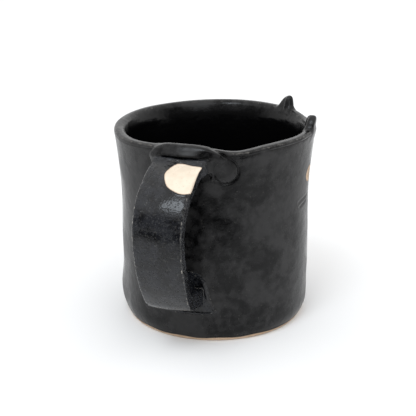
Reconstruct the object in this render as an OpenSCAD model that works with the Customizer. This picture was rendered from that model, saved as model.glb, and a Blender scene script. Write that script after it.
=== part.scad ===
// Hand-built stoneware mug with a cat's ears, face and tail.
// Every piece of clay that the potter joins is one node: a wall rolled from a slab,
// a floor disc let into it, a coil worked into the inside corner, a strap handle,
// a coil that seals its lower root, a tail laid over its upper root, and two ears.
// The frame: Z is up, the origin is the middle of the foot, and the handle points to -X.

/* [Cup] */
// Height of the rim above the table
mug_h = 86; // [70:1:110]
// Outer radius of the straight part of the wall
wall_r = 41.4; // [34:0.1:50]
// How much further out the rim stands than the straight wall
rim_flare = 2.9; // [0:0.1:6]
// Height at which the wall starts to flare
flare_z = 55; // [40:1:65]
// Thickness of the rolled wall
wall_t = 5; // [4:0.1:7]
// Thickness of the floor disc
floor_t = 6; // [4:0.1:8]
// Radius of the rounded outer corner at the foot
foot_round = 2.4; // [1:0.1:3.5]
// Radius of the coil worked into the inside corner
corner_r = 5; // [3:0.5:8]

/* [Handle] */
// Width of the strap
strap_w = 20.4; // [14:0.1:26]
// Thickness of the strap
strap_t = 5.6; // [3.5:0.1:7]
// Height of the strap's middle line where it leaves the wall at the top
strap_z = 79.5; // [70:0.1:84]
// How far the smeared coil at the lower root stands out from the wall
coil_proud = 1.8; // [0.8:0.1:3]

/* [Tail] */
// How far the tail stands out from the rim where it lies over the handle
tail_out = 3.6; // [2:0.1:6]
// Width of the flattened tail beside the handle
tail_w = 8; // [5:0.5:12]
// Radius of the tail's round tip
tip_r = 5.4; // [3:0.1:8]
// How proud of the wall the flattened tip stands
tip_proud = 1.0; // [0.4:0.1:2]

/* [Ears] */
// Direction that the cat's face looks in, measured from +X
face_dir = -61; // [-120:1:0]
// Angle from the middle of the face to the middle of each ear
ear_spread = 24.5; // [15:0.5:35]
// Height of the ears above the rim
ear_h = 6.2; // [3:0.1:10]
// Slope of an ear's two sides
ear_slope = 51; // [40:1:70]

/* [Hidden] */
black_glaze = "#26262a";
gloss_glaze = "#1c1c22";
bare_clay = "#dcc3a0";

steps = 8;                    // points along each curved stretch of an outline
$fn = 128;

lip_round = 1.9;              // rounding of both edges of the rim
foot_r = wall_r - 1.9;        // radius of the flat ring that stands on the table
floor_r = wall_r - wall_t;    // radius of the disc that fits inside the wall

// The strap's middle line from the wall outwards: [length, 0] is a straight run, and
// [radius, angle] is a bend towards the table.
strap_path = [[5.7, 0], [48.3, 22.25], [17.8, 62.6], [55.7, 32.9], [10, 38.3], [22, 0]];
strap_lean = 9.25;            // the strap leaves the wall sloping down by this much
strap_start = [38, strap_z + 0.7];

coil_top = 32;                // where the smeared coil starts above the lower root
coil_bottom = 14.5;           // where it ends below the root
coil_top_half = 7;            // half its width at the top
coil_bottom_half = 14;        // half its width at the bottom
// The wedge on top of the strap, as [distance from the wall, height]
coil_wedge = [
    [-2, 31], [0.8, 31], [2.3, 29.2], [5.2, 27.7], [9, 27.4], [12.5, 28.1], [15.6, 29.8],
    [16.4, 27.5], [11, 22], [-2, 20]
];

tail_top = mug_h + 1.5;       // the tail laps over the rim
tail_bend_r = 7;              // radius of the tail's turn beside the strap
tail_slope = 41;              // the tail runs down to its tip at this angle
tip_side = 16.9;              // from the handle's middle plane to the tip's centre
tip_z = mug_h - 9.6;          // height of the tip's centre

ear_tip_r = 1.5;
ear_fillet_r = 3;             // radius of the sweep from the rim into an ear's sides
ear_root = 2.6;               // how far the ear's clay reaches down over the rim
ear_skin = 0.8;               // the ear stays this far inside the wall's two faces

// Outer radius of the wall at a height.
function outer_r(z) = wall_r + rim_flare * pow(max(0, (z - flare_z) / (mug_h - flare_z)), 2);

// Points of an arc about [cx, cy], from angle a0 to angle a1.
function arc(cx, cy, r, a0, a1) =
    [for (i = [0:steps]) let (a = a0 + (a1 - a0) * i / steps) [cx + r * cos(a), cy + r * sin(a)]];

// The outside of the cup from the foot to just under the rim.
function outside() = concat(
    [[foot_r, 0]],
    arc(wall_r - foot_round, foot_round, foot_round, -38, 0),
    [for (i = [0:steps]) let (z = flare_z + (mug_h - lip_round - flare_z) * i / steps) [outer_r(z), z]]
);

// The rounded outer edge of the rim.
function outer_lip() =
    arc(outer_r(mug_h) - lip_round - 0.25, mug_h - lip_round, lip_round, 10, 90);

// The top of the rim, rounded on both edges.
function lip() = concat(
    outer_lip(),
    arc(outer_r(mug_h) - wall_t + lip_round, mug_h - lip_round, lip_round, 90, 170)
);

// The inside of the cup from the rim down to the table, where the floor disc fits.
function inside() = concat(
    [for (i = [0:steps])
        let (z = mug_h - lip_round - 0.6 - (mug_h - lip_round - 0.6 - flare_z) * i / steps)
        [outer_r(z) - wall_t, z]],
    [[floor_r, 0]]
);

// The whole cup as if it were solid, used to trim what is joined to it.
module solid_cup() {
    rotate_extrude() polygon(concat([[0, 0]], outside(), outer_lip(), [[0, mug_h]]));
}

module wall_slab() {
    color(black_glaze) rotate_extrude() polygon(concat(outside(), lip(), inside()));
}

module floor_slab() {
    color(bare_clay) cylinder(r = floor_r, h = floor_t);
}

module corner_coil() {
    color(black_glaze)
        translate([0, 0, floor_t])
            rotate_extrude() polygon(concat(
                [[floor_r, 0]],
                arc(floor_r - corner_r, corner_r, corner_r, -84, -6),
                [[floor_r, corner_r]]
            ));
}

// One side of the strap's outline, offset by side from its middle line: x and z are where
// the run starts, and slope is how steeply it starts downwards.
function strap_edge(side, i = 0, x = strap_start[0], z = strap_start[1], slope = strap_lean) =
    i == len(strap_path) ? [[x + side * sin(slope), z + side * cos(slope)]] :
    let (
        size = strap_path[i][0],
        turn = strap_path[i][1],
        bends = turn > 0,
        reach_x = bends ? size * (sin(slope + turn) - sin(slope)) : size * cos(slope),
        reach_z = bends ? size * (cos(slope + turn) - cos(slope)) : -size * sin(slope),
        last = bends ? 2 * steps - 1 : 0
    )
    concat(
        [for (k = [0:last])
            let (a = slope + turn * k / (last + 1), r = bends ? size : 0)
            [x + r * (sin(a) - sin(slope)) + side * sin(a), z + r * (cos(a) - cos(slope)) + side * cos(a)]],
        strap_edge(side, i + 1, x + reach_x, z + reach_z, slope + turn)
    );

// The strap with both ends running on into the cup, handle towards -X.
module strap_untrimmed() {
    outer = strap_edge(strap_t / 2);
    inner = strap_edge(-strap_t / 2);
    rotate([0, 0, 180]) rotate([90, 0, 0])
        linear_extrude(strap_w, center = true)
            polygon(concat(outer, [for (i = [len(inner) - 1:-1:0]) inner[i]]));
}

module handle_strap() {
    color(gloss_glaze) difference() {
        strap_untrimmed();
        solid_cup();
    }
}

// The coil worked round the lower root: smeared flat on the wall, where it widens
// downwards, and filled up into a hollow wedge on top of the strap.
module lower_root_coil() {
    color(gloss_glaze) difference() {
        union() {
            intersection() {
                rotate([0, 0, 180]) rotate([90, 0, 90]) linear_extrude(wall_r + 12) polygon([
                    [2 - coil_bottom_half, coil_bottom], [coil_bottom_half - 2, coil_bottom],
                    [coil_bottom_half, coil_bottom + 2.5], [coil_top_half, coil_top - 2],
                    [coil_top_half - 2, coil_top], [2 - coil_top_half, coil_top],
                    [-coil_top_half, coil_top - 2], [-coil_bottom_half, coil_bottom + 2.5]
                ]);
                rotate_extrude() polygon([
                    [wall_r - 3, coil_bottom], [wall_r + 0.3, coil_bottom],
                    [wall_r + coil_proud, coil_bottom + 3.5], [wall_r + coil_proud, coil_top - 5],
                    [wall_r + 0.3, coil_top], [wall_r - 3, coil_top]
                ]);
            }
            rotate([0, 0, 180]) rotate([90, 0, 0])
                linear_extrude(2 * coil_top_half + 4, center = true)
                    polygon([for (p = coil_wedge) [wall_r + p[0], p[1]]]);
        }
        solid_cup();
        strap_untrimmed();
    }
}

// The tail seen from outside the cup: up beside the strap, over its root, and down to a
// round tip that is a little wider than the tail.
module tail_outline() {
    neck = asin(tail_w / 2 / tip_r);
    back = 180 - tail_slope;
    upper = [tip_side + tip_r * cos(back - neck), tip_z + tip_r * sin(back - neck)];
    polygon(concat(
        [[-strap_w / 2 + 2, tip_z + 3.5], [-strap_w / 2 - 2.6, tip_z + 0.8]],
        arc(-tail_bend_r - 0.6, tail_top - tail_bend_r, tail_bend_r, 190, 90),
        [[upper[0] - (tail_top - upper[1]) / tan(tail_slope), tail_top]],
        arc(tip_side, tip_z, tip_r, back - neck, -tail_slope),
        arc(tip_side, tip_z, tip_r, -tail_slope - 15, back + neck - 360),
        [[strap_w / 2 - 2, tip_z + 3.5]]
    ));
}

module tail_band() {
    rim_r = outer_r(mug_h);
    color(black_glaze) difference() {
        intersection() {
            rotate([0, 0, 180]) rotate([90, 0, 90])
                linear_extrude(rim_r + 12) tail_outline();
            rotate_extrude() polygon(concat(
                [[wall_r - 4, mug_h - 18]],
                [for (i = [0:steps])
                    let (z = mug_h - 18 + 11.6 * i / steps) [outer_r(z) + tip_proud, z]],
                [
                    [rim_r + tail_out - 1.2, mug_h - 4],
                    [rim_r + tail_out, mug_h - 2.6],
                    [rim_r + tail_out - 0.4, mug_h - 1.1],
                    [rim_r + tail_out - 1.8, mug_h + 0.4],
                    [rim_r + 0.6, mug_h + 1.2],
                    [rim_r - 1.4, tail_top],
                    [rim_r - 2.9, mug_h + 0.6],
                    [rim_r - 2.9, mug_h - 1],
                    [wall_r - 4, mug_h - 1]
                ]
            ));
        }
        solid_cup();
        strap_untrimmed();
    }
}

// The ear's outline: it sweeps up from the rim into two straight sides and a round tip.
module ear_outline() {
    across = sin(ear_slope);
    up = cos(ear_slope);
    tip_z = ear_h - ear_tip_r;
    fillet_x = ear_tip_r * across
        + (ear_fillet_r - up * (ear_fillet_r - tip_z - ear_tip_r * up)) / across;
    right = concat(
        [[fillet_x, -ear_root]],
        arc(fillet_x, ear_fillet_r, ear_fillet_r, 270, 270 - ear_slope),
        arc(0, tip_z, ear_tip_r, 90 - ear_slope, 90)
    );
    left = [for (i = [len(right) - 1:-1:0]) [-right[i][0], right[i][1]]];
    polygon(concat(right, left));
}

// An ear as a tab that continues the wall's own curve above the rim.
module ear(turn) {
    rim_r = outer_r(mug_h);
    low = mug_h - ear_root;
    difference() {
        intersection() {
            rotate([0, 0, turn])
                translate([0, 0, mug_h]) rotate([90, 0, 90]) linear_extrude(rim_r + 6) ear_outline();
            rotate_extrude() polygon([
                [outer_r(low) - wall_t + ear_skin, low],
                [outer_r(low) - ear_skin, low],
                [rim_r - ear_skin, mug_h],
                [rim_r - ear_skin - 0.5, mug_h + ear_h],
                [rim_r - ear_skin - 2.5, mug_h + ear_h],
                [rim_r - wall_t + ear_skin, mug_h]
            ]);
        }
        wall_slab();
    }
}

module left_ear() {
    color(black_glaze) ear(face_dir + ear_spread);
}

module right_ear() {
    color(black_glaze) ear(face_dir - ear_spread);
}

wall_slab();
floor_slab();
corner_coil();
handle_strap();
lower_root_coil();
tail_band();
left_ear();
right_ear();
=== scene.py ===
import logging
import math
from dataclasses import dataclass, field
from enum import Enum
from typing import Callable, Sequence

import bpy
import numpy as np
from mathutils import Matrix, Vector


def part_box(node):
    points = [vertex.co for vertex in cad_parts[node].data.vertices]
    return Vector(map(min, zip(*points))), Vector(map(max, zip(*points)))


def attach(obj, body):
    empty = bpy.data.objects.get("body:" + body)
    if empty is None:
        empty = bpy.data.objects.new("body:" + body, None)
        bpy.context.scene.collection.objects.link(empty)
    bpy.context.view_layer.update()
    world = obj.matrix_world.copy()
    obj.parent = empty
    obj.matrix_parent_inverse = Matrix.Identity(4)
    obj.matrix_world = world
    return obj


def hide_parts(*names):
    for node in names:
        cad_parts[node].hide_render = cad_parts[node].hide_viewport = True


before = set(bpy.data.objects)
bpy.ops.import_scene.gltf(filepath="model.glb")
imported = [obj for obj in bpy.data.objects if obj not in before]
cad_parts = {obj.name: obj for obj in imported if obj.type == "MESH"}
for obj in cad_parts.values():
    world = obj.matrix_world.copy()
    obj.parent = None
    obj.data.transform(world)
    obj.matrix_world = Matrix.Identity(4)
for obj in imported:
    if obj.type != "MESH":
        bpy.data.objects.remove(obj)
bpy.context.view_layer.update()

# Shapes are worked out in millimetres. "Swing" is the angle round the cup in degrees, 0 where the handle
# is and positive towards -Y. "Across" is the distance from the handle's middle plane, positive towards -Y.
Array = np.ndarray
Field = Callable[[Array], Array]
Faces = list[tuple[int, ...]]
Node = bpy.types.Node
Socket = bpy.types.NodeSocket
Colour = tuple[float, float, float]
MM = 0.001
WALL_RADIUS = 41.0  # turns a swing into a length along the wall
FACE_MIDDLE = 118.5  # swing of the face's middle
GLAZED, BARE = -5.0, 3.0  # what the mark "bare" holds far from the glaze's edge
log = logging.getLogger("mug")


# ---------------------------------------------------------------- shape helpers


def ease(x: Array, low: float, high: float) -> Array:
    """Smooth step from 0 at low to 1 at high."""
    t = np.clip((x - low) / (high - low), 0.0, 1.0)
    return t * t * (3.0 - 2.0 * t)


def swell(x: Array, centre: float, spread: float) -> Array:
    """Bell curve of height 1 at centre."""
    return np.exp(-0.5 * ((x - centre) / spread) ** 2)


def soft_min(a: Array, b: Array, k: float | Array) -> Array:
    """The lesser of a and b, rounded over a width k where they meet."""
    return np.minimum(a, b) - np.maximum(k - np.abs(a - b), 0.0) ** 2 / (4.0 * k)


def soft_max(a: Array, b: Array, k: float | Array) -> Array:
    """The greater of a and b, rounded over a width k where they meet."""
    return -soft_min(-a, -b, k)


def polar(points: Array) -> tuple[Array, Array, Array]:
    """Splits points into their cylinder coordinates.

    Args:
        points: N x 3 array in mm.

    Returns:
        Distance from the cup's axis, swing in degrees, and height.
    """
    x, y, z = points[:, 0], points[:, 1], points[:, 2]
    return np.hypot(x, y), np.degrees(np.arctan2(-y, -x)), z


def at_polar(radius: Array | float, swing: Array, height: Array | float) -> Array:
    """Points in mm at these cylinder coordinates, as an N x 3 array."""
    a = np.radians(swing)
    return np.stack(np.broadcast_arrays(-radius * np.cos(a), -radius * np.sin(a), height), axis=-1)


def grid_faces(rows: int, cols: int, close_rows: bool, close_cols: bool) -> Faces:
    """Quads over a grid of points stored row by row.

    Args:
        rows: Number of rows.
        cols: Number of columns.
        close_rows: True where the last row joins the first.
        close_cols: True where the last column joins the first.

    Returns:
        One tuple of four point numbers for each quad.
    """
    i, j = np.meshgrid(
        np.arange(rows if close_rows else rows - 1),
        np.arange(cols if close_cols else cols - 1),
        indexing="ij",
    )
    i2, j2 = (i + 1) % rows, (j + 1) % cols
    quads = np.stack([i * cols + j, i * cols + j2, i2 * cols + j2, i2 * cols + j], -1)
    return [tuple(q) for q in quads.reshape(-1, 4).tolist()]


def deep_inside(depth: Array, below_lip: Array) -> Array:
    """How far inside the cup a place is, from 0 on the lip and the outer face to 1; the finishes read it for
    a smoother glaze and for painted shade inside the cup.
    """
    return ease(depth, 0.6, 2.6) * ease(below_lip, 0.5, 6.0)


def stand(name: str, data: bpy.types.ID) -> bpy.types.Object:
    """Puts a new object with this data into the scene."""
    obj = bpy.data.objects.new(name, data)
    bpy.context.scene.collection.objects.link(obj)
    return obj


def make_piece(name: str, points: Array, faces: Faces, marks: dict[str, Array]) -> bpy.types.Object:
    """Makes a smooth-shaded mesh object in the scene, with its faces turned outwards.

    Args:
        name: The piece's name.
        points: N x 3 array in mm.
        faces: Point numbers of each face.
        marks: Values per point that the finishes read, by attribute name.

    Returns:
        The new object.
    """
    mesh = bpy.data.meshes.new(name)
    mesh.from_pydata((points * MM).tolist(), [], faces)
    mesh.validate()
    mesh.calc_loop_triangles()
    tri = mesh.loop_triangles
    corners = np.zeros(len(tri) * 3, np.int32)
    tri.foreach_get("vertices", corners)
    p = points[corners.reshape(-1, 3)]
    volume = float(np.einsum("ij,ij->i", p[:, 0], np.cross(p[:, 1], p[:, 2])).sum()) / 6.0
    if volume < 0:
        mesh.flip_normals()
    mesh.shade_smooth()
    for key, values in marks.items():
        layer = mesh.attributes.new(key, "FLOAT", "POINT")
        layer.data.foreach_set("value", np.asarray(values, np.float32))
    log.info("%s: %d points, %d triangles, %.2f cm3", name, len(points), len(tri), abs(volume) / 1000)
    return stand(name, mesh)


@dataclass(frozen=True)
class HandWork:
    """The slow unevenness that fingers and a rolling pin leave in clay."""

    seed: int
    spacing: float
    depth: float
    waves: int = 14

    def at(self, points: Array) -> Array:
        """Height of the unevenness at each point, in mm."""
        rng = np.random.default_rng(self.seed)
        ways = rng.normal(size=(self.waves, 3))
        ways /= np.linalg.norm(ways, axis=1, keepdims=True)
        ways *= (2 * np.pi / (self.spacing * rng.uniform(0.7, 1.5, self.waves)))[:, None]
        phase = rng.uniform(0, 2 * np.pi, self.waves)
        return self.depth * np.cos(points @ ways.T + phase).sum(1) / math.sqrt(self.waves)


@dataclass(frozen=True)
class Skin:
    """Turns a distance field into a closed mesh of even quads."""

    pitch: float
    rounds: int

    def build(self, shape: Field, low: Sequence[float], high: Sequence[float]) -> tuple[Array, Faces]:
        """Meshes the surface where shape is zero.

        Args:
            shape: Signed distance in mm, negative inside.
            low: Lowest corner of the space that holds the surface.
            high: Highest corner of that space.

        Returns:
            Points in mm and quads.
        """
        axes = [np.arange(a, b + self.pitch, self.pitch) for a, b in zip(low, high)]
        grid = np.stack(np.meshgrid(*axes, indexing="ij"), -1)
        size = grid.shape[:3]
        parts = np.array_split(grid.reshape(-1, 3), 12)
        value = np.concatenate([shape(part) for part in parts]).reshape(size)
        cells = tuple(n - 1 for n in size)
        total, count = np.zeros(cells + (3,)), np.zeros(cells)
        for axis in range(3):
            self.add_crossings(grid, value, axis, total, count)
        used = count > 0
        number = np.full(cells, -1)
        number[used] = np.arange(used.sum())
        points = total[used] / count[used][:, None]
        quads = np.concatenate([self.join_cells(value, number, axis) for axis in range(3)])
        for _ in range(self.rounds):
            points = self.settle(shape, self.relax(points, quads))
        return points, [tuple(q) for q in quads.tolist()]

    def look_along(self, value: Array, axis: int) -> tuple[Array, Array, list[int]]:
        """The field at both ends of each grid edge along an axis, and the other two axes."""
        n = value.shape[axis]
        ends = np.take(value, range(n - 1), axis), np.take(value, range(1, n), axis)
        return *ends, [other for other in range(3) if other != axis]

    def add_crossings(self, grid: Array, value: Array, axis: int, total: Array, count: Array) -> None:
        """Adds to each cell the places where the surface crosses its edges along one axis.

        Args:
            grid: Corners of the cells, in mm.
            value: The field at each corner.
            axis: The edges' axis.
            total: Sum of each cell's crossings so far, changed in place.
            count: Number of each cell's crossings so far, changed in place.
        """
        a, b, (first, second) = self.look_along(value, axis)
        crossed = (a < 0) != (b < 0)
        share = np.where(crossed, a / np.where(a == b, 1.0, a - b), 0.0)
        where = np.take(grid, range(value.shape[axis] - 1), axis)
        where[..., axis] += share * self.pitch
        where *= crossed[..., None]
        for da in (0, 1):
            for db in (0, 1):
                cut = [slice(None)] * 3
                cut[first] = slice(da, da + count.shape[first])
                cut[second] = slice(db, db + count.shape[second])
                total += where[tuple(cut)]
                count += crossed[tuple(cut)]

    def join_cells(self, value: Array, number: Array, axis: int) -> Array:
        """Joins the points of the four cells round each crossed edge along one axis.

        Args:
            value: The field at each corner of the grid.
            number: Number of each cell's point.
            axis: The edges' axis.

        Returns:
            Rows of four point numbers, turned so that the faces look outwards.
        """
        a, b, (first, second) = self.look_along(value, axis)
        inner = [slice(None)] * 3
        inner[first] = inner[second] = slice(1, -1)
        hit = np.argwhere(((a < 0) != (b < 0))[tuple(inner)])
        hit[:, [first, second]] += 1
        ring = []
        for da, db in ((-1, -1), (0, -1), (0, 0), (-1, 0)):
            cell = hit.copy()
            cell[:, first] += da
            cell[:, second] += db
            ring.append(number[tuple(cell.T)])
        quads = np.stack(ring, 1)
        turn = (a < 0)[tuple(hit.T)] ^ (axis == 1)
        quads[~turn] = quads[~turn][:, ::-1]
        return quads

    def relax(self, points: Array, quads: Array) -> Array:
        """Moves each point halfway to the middle of its neighbours."""
        total, count = np.zeros_like(points), np.zeros(len(points))
        for k in range(4):
            a, b = quads[:, k], quads[:, (k + 1) % 4]
            for p, q in ((a, b), (b, a)):
                np.add.at(total, p, points[q])
                np.add.at(count, p, 1)
        return 0.5 * points + 0.5 * total / count[:, None]

    def settle(self, shape: Field, points: Array) -> Array:
        """Moves each point back onto the surface along the field's slope."""
        value, slope = shape(points), self.slope(shape, points)
        steep = np.maximum((slope**2).sum(1), 0.2)
        move = -(value / steep)[:, None] * slope
        length = np.linalg.norm(move, axis=1, keepdims=True)
        return points + move * np.minimum(1.0, 0.5 * self.pitch / np.maximum(length, 1e-9))

    def slope(self, shape: Field, points: Array) -> Array:
        """The field's gradient at each point."""
        step = 0.02
        out = np.zeros_like(points)
        for axis in range(3):
            d = np.zeros(3)
            d[axis] = step
            out[:, axis] = (shape(points + d) - shape(points - d)) / (2 * step)
        return out

    def sharpness(self, shape: Field, points: Array, depth: float = 0.7) -> Array:
        """How far each point stands on an outer edge, from 0 on flat or hollow clay to 1."""
        slope = self.slope(shape, points)
        slope /= np.maximum(np.linalg.norm(slope, axis=1, keepdims=True), 1e-9)
        return np.clip(1.0 + shape(points - depth * slope) / depth, 0.0, 1.0)


# ---------------------------------------------------------------- forms


@dataclass(frozen=True)
class Cut:
    """A shallow stroke pressed into the soft wall, from one (swing, height) to another."""

    start: tuple[float, float]
    end: tuple[float, float]
    depth: float = 0.42
    width: float = 0.6

    def depth_at(self, swing: Array, height: Array) -> Array:
        """Depth of the stroke at each place on the wall, in mm."""
        scale = math.radians(WALL_RADIUS)
        ax, az, bx, bz = self.start[0] * scale, self.start[1], self.end[0] * scale, self.end[1]
        dx, dz = bx - ax, bz - az
        t = np.clip(((swing * scale - ax) * dx + (height - az) * dz) / (dx * dx + dz * dz), 0, 1)
        gap = np.hypot(swing * scale - ax - t * dx, height - az - t * dz)
        body = np.exp(-((gap / self.width) ** 2)) * (0.5 + 0.5 * np.sin(np.pi * t))
        burr = np.exp(-(((gap - 2.1 * self.width) / self.width) ** 2))
        return self.depth * (body - 0.16 * burr)


@dataclass(frozen=True)
class EyePatch:
    """A leaf-shaped patch of bare clay with a thin glazed slit."""

    swing: float
    height: float
    half_long: float = 5.2
    half_high: float = 3.6
    slit_wide: float = 0.5
    slit_high: float = 2.3
    recess: float = 0.06

    def bare_at(self, swing: Array, height: Array) -> Array:
        """Signed distance in mm to the patch's edge, positive on bare clay."""
        x = (swing - self.swing) * math.radians(WALL_RADIUS)
        y = height - self.height
        bow = (self.half_long**2 + self.half_high**2) / (2 * self.half_high)
        leaf = bow - np.hypot(x, np.abs(y) + bow - self.half_high)
        slit = np.hypot(x / self.slit_wide, y / self.slit_high) - 1.0
        return np.minimum(leaf, slit * self.slit_wide)


def whiskers(way: int) -> tuple[Cut, ...]:
    """The two whisker cuts on the face's side towards the handle, -1, or away from it, 1."""
    ends = (((28.7, 57.3), (42.0, 56.5)), ((30.8, 55.1), (40.5, 54.4)))
    return tuple(Cut(*((FACE_MIDDLE + way * off, height) for off, height in pair)) for pair in ends)


@dataclass(frozen=True)
class TailOutline:
    """The tail's outline laid flat on the wall: a rope of changing width over the handle's top end."""

    reference: float = 42.5
    line: tuple[tuple[float, float], ...] = (
        (-13.3, 77.4), (-12.4, 80.2), (-10.8, 83.1), (-6.8, 85.2), (0.0, 85.4),
        (5.6, 85.3), (10.4, 83.9), (14.4, 80.4), (17.3, 76.6),
    )
    half: tuple[float, ...] = (0.7, 1.6, 2.1, 2.2, 2.15, 2.2, 2.7, 3.7, 5.1)
    proud: tuple[float, ...] = (0.5, 1.9, 3.2, 4.0, 4.2, 4.0, 2.4, 1.2, 0.75)
    lean: tuple[float, ...] = (0.0, 0.3, 0.8, 1.0, 1.0, 1.0, 0.6, 0.1, 0.0)

    def stations(self) -> Array:
        """Points along the rope as rows of (along the wall, height, half width, proud, lean)."""
        rows = np.column_stack([np.array(self.line), self.half, self.proud, self.lean])
        padded = np.vstack([2 * rows[0] - rows[1], rows, 2 * rows[-1] - rows[-2]])
        out = []
        for a, b, c, d in zip(padded, padded[1:], padded[2:], padded[3:]):
            t = np.linspace(0, 1, 9)[:-1, None]
            out.append(0.5 * (2 * b + (c - a) * t + (2 * a - 5 * b + 4 * c - d) * t**2
                              + (3 * b - a - 3 * c + d) * t**3))
        return np.vstack(out + [rows[-1:]])

    def measure(self, swing: Array, height: Array) -> tuple[Array, Array, Array]:
        """Distance to the outline with the rope's proudness and lean there.

        Args:
            swing: Swing of each place, degrees.
            height: Height of each place, mm.

        Returns:
            Signed distance in mm, negative on the tail; proudness in mm; lean from 0 to 1.
        """
        along = np.radians(swing) * self.reference
        best = np.full(along.shape, 1e9)
        proud, lean, weight = np.zeros_like(best), np.zeros_like(best), np.full(along.shape, 1e-12)
        for a, z, half, p, tilt in self.stations():
            gap = np.hypot(along - a, height - z) - half
            best = np.minimum(best, gap)
            w = np.exp(-np.clip(gap + half, 0, 40) ** 2 / 4.0) + 1e-12
            proud, lean, weight = proud + w * p, lean + w * tilt, weight + w
        return best, proud / weight, lean / weight

    def groove_at(self, swing: Array, height: Array) -> Array:
        """Depth of the thin line left round the tail's pressed-on tip."""
        near = (np.abs(swing - 20) < 22) & (np.abs(height - 78) < 14)
        out = np.zeros(np.broadcast(swing, height).shape)
        s, h = np.broadcast_arrays(swing, height)
        if near.any():
            gap, _, lean = self.measure(s[near], h[near])
            along = np.radians(s[near]) * self.reference
            open_side = 1 - ease(15.0 - along, 0, 2.0) * ease(h[near], 71.8, 73.5)
            held = (1 - ease(lean, 0.1, 0.75)) * ease(s[near], 13.0, 16.0) * open_side
            out[near] = 0.62 * np.exp(-(((gap - 0.3) / 0.42) ** 2)) * held
        return out


@dataclass(frozen=True)
class CupForm:
    """The slab-built cup: a standing wall of even thickness with a soft lip."""

    height: float
    radius: float
    rim_radius: float
    thick: float
    floor: float
    tail: TailOutline
    lip: float = 1.9
    foot_step: float = 2.8
    flare_from: float = 57.0
    flare_over: float = 31.0
    waves: tuple[tuple[float, float, float], ...] = (
        (1, 12, 1.15), (30, 9, -1.5), (-44, 13, -0.9), (62, 14, 0.35), (88, 8, 0.4),
        (175, 38, 1.2), (122, 9, -0.8), (-110, 20, 0.3),
    )
    slow: HandWork = HandWork(3, 34.0, 0.16)
    quick: HandWork = HandWork(8, 9.0, 0.035)
    inside: HandWork = HandWork(21, 26.0, 0.3)
    tear: HandWork = HandWork(55, 7.0, 0.6)
    foot_line: HandWork = HandWork(44, 16.0, 0.32)
    eyes: tuple[EyePatch, ...] = (EyePatch(FACE_MIDDLE - 25.5, 66.5), EyePatch(FACE_MIDDLE + 25.5, 66.5))
    cuts: tuple[Cut, ...] = (
        *whiskers(-1),
        *whiskers(1),
        Cut((FACE_MIDDLE, 60.2), (FACE_MIDDLE, 57.6), 0.5, 0.7),
        Cut((FACE_MIDDLE, 57.6), (FACE_MIDDLE - 3.3, 55.8)),
        Cut((FACE_MIDDLE, 57.6), (FACE_MIDDLE + 3.3, 55.8)),
        Cut((FACE_MIDDLE - 1.2, 60.6), (FACE_MIDDLE + 1.2, 60.6), 0.5, 0.7),
    )

    def crown(self, swing: Array) -> Array:
        """Height of the lip's top round the rim."""
        top = np.full(np.shape(swing), self.height, float)
        for centre, spread, rise in self.waves:
            off = (np.asarray(swing) - centre + 180) % 360 - 180
            top = top + rise * np.exp(-0.5 * (off / spread) ** 2)
        return top

    def flare(self, height: Array) -> Array:
        """How much further out the wall leans towards the lip."""
        rise = np.maximum((height - self.flare_from) / self.flare_over, 0)
        return (self.rim_radius - self.radius) * 1.03 * rise**2

    def outer(self, swing: Array, height: Array) -> Array:
        """Radius of the wall's outer face."""
        z = height
        foot = self.foot_step * np.maximum(0, 1 - z / 9.0) ** 2.4
        base = self.radius + 0.55 + self.flare(z) - foot - 0.2 * swell(z, 52, 9)
        base = base + 0.35 * swell(swing, 108, 35) * ease(self.height - z, 2, 12) * ease(z, 6, 26)
        base = base + 0.9 * swell(swing, -68, 7) * swell(z, 12.5, 4.5)
        place = at_polar(WALL_RADIUS, swing, z).reshape(-1, 3)
        uneven = (self.slow.at(place) + self.quick.at(place)).reshape(np.shape(z))
        base = base + uneven * ease(z, -1.0, 6.0)
        top = self.crown(swing)
        fold = swell(swing, 29, 6) + 0.6 * swell(swing, -19, 4)
        torn = np.clip(0.45 + self.tear.at(place).reshape(np.shape(z)), 0, 1)
        fold = fold + 0.45 * torn * ease(swing, 33, 39) * (1 - ease(swing, 80, 90))
        base = base + fold * (0.5 * swell(z, top - 0.8, 0.5) - 0.6 * swell(z, top - 1.9, 0.36))
        for cut in self.cuts:
            base = base - cut.depth_at(swing, z)
        for eye in self.eyes:
            base = base - eye.recess * ease(eye.bare_at(swing, z), -0.15, 0.25)
        return base - self.tail.groove_at(swing, z)

    def inner(self, swing: Array, height: Array) -> Array:
        """Radius of the wall's inner face."""
        z, top = height, self.crown(swing)
        place = at_polar(WALL_RADIUS - self.thick, swing, z).reshape(-1, 3)
        open_lip = 0.8 * ease(z, top - 6.0, top + 1.0)
        base = self.radius + 0.3 + self.flare(z) - self.thick - 0.2 * swell(z, 52, 9) + open_lip
        return base + self.inside.at(place).reshape(np.shape(z))

    def distance(self, points: Array) -> Array:
        """Signed distance in mm to the wall, negative in the clay."""
        r, swing, z = polar(points)
        top = self.crown(swing)
        held = np.clip(z, 0.0, top)
        out, back = self.outer(swing, held), self.inner(swing, held)
        middle, half = (out + back) / 2, (out - back) / 2
        a, b = np.abs(r - middle) - (half - self.lip), z - (top - self.lip)
        return np.hypot(np.maximum(a, 0), np.maximum(b, 0)) + np.minimum(np.maximum(a, b), 0) - self.lip

    def bare_at(self, swing: Array, height: Array) -> Array:
        """Signed distance in mm to bare clay on the outer face: the foot line and the eye patches."""
        bare = 1.4 + self.foot_line.at(at_polar(WALL_RADIUS, swing, 0.0)) - height
        for eye in self.eyes:
            bare = np.maximum(bare, eye.bare_at(swing, height))
        return bare

    def under_lip(self, swing: Array) -> tuple[Array, Array]:
        """Radii of the outer and inner face a little below the lip."""
        height = np.full(swing.shape, self.height - 2.0)
        return self.outer(swing, height), self.inner(swing, height)


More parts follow.
